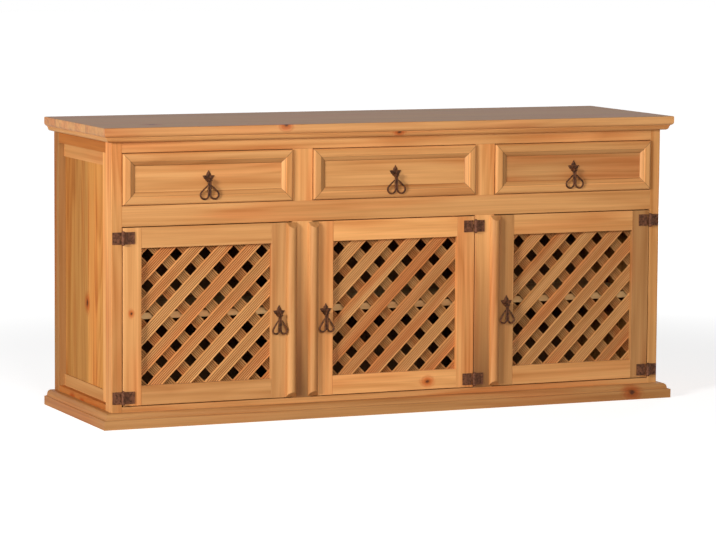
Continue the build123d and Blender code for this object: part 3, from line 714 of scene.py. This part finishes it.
def pull_drop(name, pin, loop):
    """Hanging drop: two round bars that curl outwards into teardrop loops and come back to the neck."""
    bm = bmesh.new()
    bend = (loop * 2 + LOOP_BACK - SHANK - BAR) / 2
    middle = Vector((SHANK + bend, 0, BAR + bend - PULL_LENGTH))
    neck = Vector((SHANK + LOOP_BACK, 0, -NECK))
    lean = neck - middle
    tangent = atan2(lean.z, lean.x) - acos(bend / lean.length)
    leave = middle + bend * Vector((cos(tangent), 0, sin(tangent)))

    # right half: down the shank, round the loop and back, growing thinner
    top = Matrix.Translation((SHANK, 0, -SHANK_TOP))
    rim = edges_of(bmesh.ops.create_circle(bm, segments=12, radius=BAR, matrix=top)["verts"])
    rim = draw_bar(bm, rim, run=(0, 0, middle.z + SHANK_TOP))
    rim = draw_bar(bm, rim, middle, -(pi + tangent), 18)
    for share, slimmer in THINNER:
        rim = draw_bar(bm, rim, run=(neck - leave) * share)
        verts = only(rim, bmesh.types.BMVert)
        heart = sum((vert.co for vert in verts), Vector()) / len(verts)
        bmesh.ops.scale(bm, verts=verts, vec=(slimmer,) * 3, space=Matrix.Translation(-heart))
    bmesh.ops.holes_fill(bm, edges=bm.edges, sides=0)

    # its eye round the pin, then the left half
    side = Matrix.Translation((SHANK, EYE, 0))
    ring = bmesh.ops.create_circle(bm, segments=10, radius=EYE_BAR, matrix=side)["verts"]
    bmesh.ops.spin(bm, geom=edges_of(ring), cent=(0, 0, 0), axis=(1, 0, 0), angle=2 * pi, steps=18,
                   use_merge=True, use_duplicate=False)
    bmesh.ops.mirror(bm, geom=bm.verts[:] + bm.edges[:] + bm.faces[:], axis="X", merge_dist=0.0000001)
    bmesh.ops.translate(bm, verts=bm.verts, vec=pin)
    finished(bm, f"{name}_forged_drop", f"{name}_drop", f"{name}_pull_drop")


def hinge_nails():
    """Two nails in each hinge leaf."""
    low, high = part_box("door_1_hinge_leaves")
    levels = (low.z + HINGE_HEIGHT / 2, high.z - HINGE_HEIGHT / 2)
    frame_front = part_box("mid_rail")[0].y - HINGE_LEAF
    door_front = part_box("door_1_stiles")[0].y - HINGE_LEAF
    frame_nails = bmesh.new()
    for number in (1, 2, 3):
        hinge = joints[f"door_{number}_hinge"]
        x = hinge["pos_m"][X]
        hand = hinge["axis"][Z]               # -1 on a door's left edge and 1 on its right edge
        door_nails = bmesh.new()
        for z in [level + rise for level in levels for rise in (-NAIL_RISE, NAIL_RISE)]:
            nail_head(frame_nails, (x + hand * FRAME_NAIL, frame_front, z), HINGE_NAIL)
            nail_head(door_nails, (x - hand * DOOR_NAIL, door_front, z), HINGE_NAIL)
        finished(door_nails, f"door_{number}_hinge_nails", f"door_{number}")
    finished(frame_nails, "frame_hinge_nails", "carcass")


for kind, loop_size in LOOPS.items():
    for number in (1, 2, 3):
        carrier = f"{kind}_{number}"
        pull_pin = joints[f"{carrier}_drop_swing"]["pos_m"]
        pull_plate(carrier, pull_pin)
        pull_drop(carrier, pull_pin, loop_size)
hinge_nails()


# ---------------------------------------------------------------- studio
FLOOR_SIZE = 30.0             # half the floor's width
FLOOR_FADE = (1.4, 3.2)       # from the middle: the shadow is whole within and gone without
FLOOR_NEAR = 0.75             # own light of the floor within
WORLD_FILL = 0.055            # strength of the world's light on the cabinet
LAMPS = (                     # name, place, height that it faces, width, watts
    ("rake", (-8.4, -4.2, 2.6), 0.45, 2.1, 830),     # from the left, brings out the mouldings
    ("front", (-1.3, -5.4, 1.95), 0.45, 1.6, 130),   # softens their shadows
    ("back", (5.4, 4.6, 0.42), 0.42, 0.8, 300))      # for views from behind
CAMERA_PLACE = (-3.6809, -8.4173, 1.3695)
CAMERA_YAW, CAMERA_PITCH, CAMERA_ROLL = 0.4111, 0.1093, 0.007     # radians
CAMERA_LENS, CAMERA_SENSOR = 169.9, 36                            # mm
CAMERA_REACH = 60


def seen_rays(tree):
    """1 for camera, glossy and transmission rays, and 0 for the others."""
    path = add(tree, "LightPath").outputs
    seen = maths(tree, "MAXIMUM", path["Is Camera Ray"], path["Is Glossy Ray"])
    return maths(tree, "MAXIMUM", seen, path["Is Transmission Ray"])


def studio_floor():
    """A wide pale paper floor that keeps the cabinet's shadow and is an even white further out."""
    mesh = bpy.data.meshes.new("studio_floor")
    bm = bmesh.new()
    bmesh.ops.create_grid(bm, x_segments=1, y_segments=1, size=FLOOR_SIZE)
    bm.to_mesh(mesh)
    bm.free()
    floor = bpy.data.objects.new("studio_floor", mesh)
    bpy.context.scene.collection.objects.link(floor)
    material, tree = new_material("pale_floor")
    away = vectors(tree, "LENGTH", add(tree, "TexCoord").outputs["Object"]).outputs["Value"]
    even = span(tree, away, *FLOOR_FADE, FLOOR_NEAR, 1.0, "SMOOTHSTEP")
    glow = maths(tree, "MULTIPLY", seen_rays(tree), even)
    paper = add(tree, "BsdfDiffuse", {"Color": colour("#C8C8C8")})
    light = add(tree, "Emission", {"Color": colour("#FFFFFF"), "Strength": glow})
    add(tree, "OutputMaterial", {"Surface": add(tree, "AddShader", {0: paper, 1: light})})
    mesh.materials.append(material)


def studio_world():
    """White to the camera and in reflections, a weak even fill on the cabinet."""
    world = bpy.data.worlds.new("studio")
    bpy.context.scene.world = world
    world.use_nodes = True
    tree = world.node_tree
    tree.nodes.clear()
    strength = span(tree, seen_rays(tree), 0.0, 1.0, WORLD_FILL, 1.0)
    back = add(tree, "Background", {"Color": colour("#FFFFFF"), "Strength": strength})
    add(tree, "OutputWorld", {"Surface": back})


def softbox(name, place, height, width, power):
    """A square area lamp that faces the cabinet's middle at some height."""
    lamp = bpy.data.lights.new(name, "AREA")
    lamp.shape = "SQUARE"
    lamp.size = width
    lamp.energy = power
    holder = bpy.data.objects.new(name, lamp)
    bpy.context.scene.collection.objects.link(holder)
    aim = (Vector((0, 0, height)) - Vector(place)).to_track_quat("-Z", "Y")
    holder.matrix_world = Matrix.Translation(place) @ aim.to_matrix().to_4x4()


def studio_camera():
    """Long lens from the left and slightly above."""
    forward = Vector((sin(CAMERA_YAW) * cos(CAMERA_PITCH), cos(CAMERA_YAW) * cos(CAMERA_PITCH),
                      -sin(CAMERA_PITCH)))
    level = Vector((cos(CAMERA_YAW), -sin(CAMERA_YAW), 0))
    plumb = level.cross(forward)
    right = cos(CAMERA_ROLL) * level + sin(CAMERA_ROLL) * plumb
    up = cos(CAMERA_ROLL) * plumb - sin(CAMERA_ROLL) * level
    data = bpy.data.cameras.new("camera")
    data.lens = CAMERA_LENS
    data.sensor_width = CAMERA_SENSOR
    data.sensor_fit = "HORIZONTAL"
    data.clip_end = CAMERA_REACH
    camera = bpy.data.objects.new("camera", data)
    bpy.context.scene.collection.objects.link(camera)
    pose = Matrix((right, up, -forward)).transposed().to_4x4()
    camera.matrix_world = Matrix.Translation(CAMERA_PLACE) @ pose
    bpy.context.scene.camera = camera


studio_floor()
studio_world()
for lamp in LAMPS:
    softbox(*lamp)
studio_camera()
bpy.context.scene.view_settings.view_transform = "Standard"
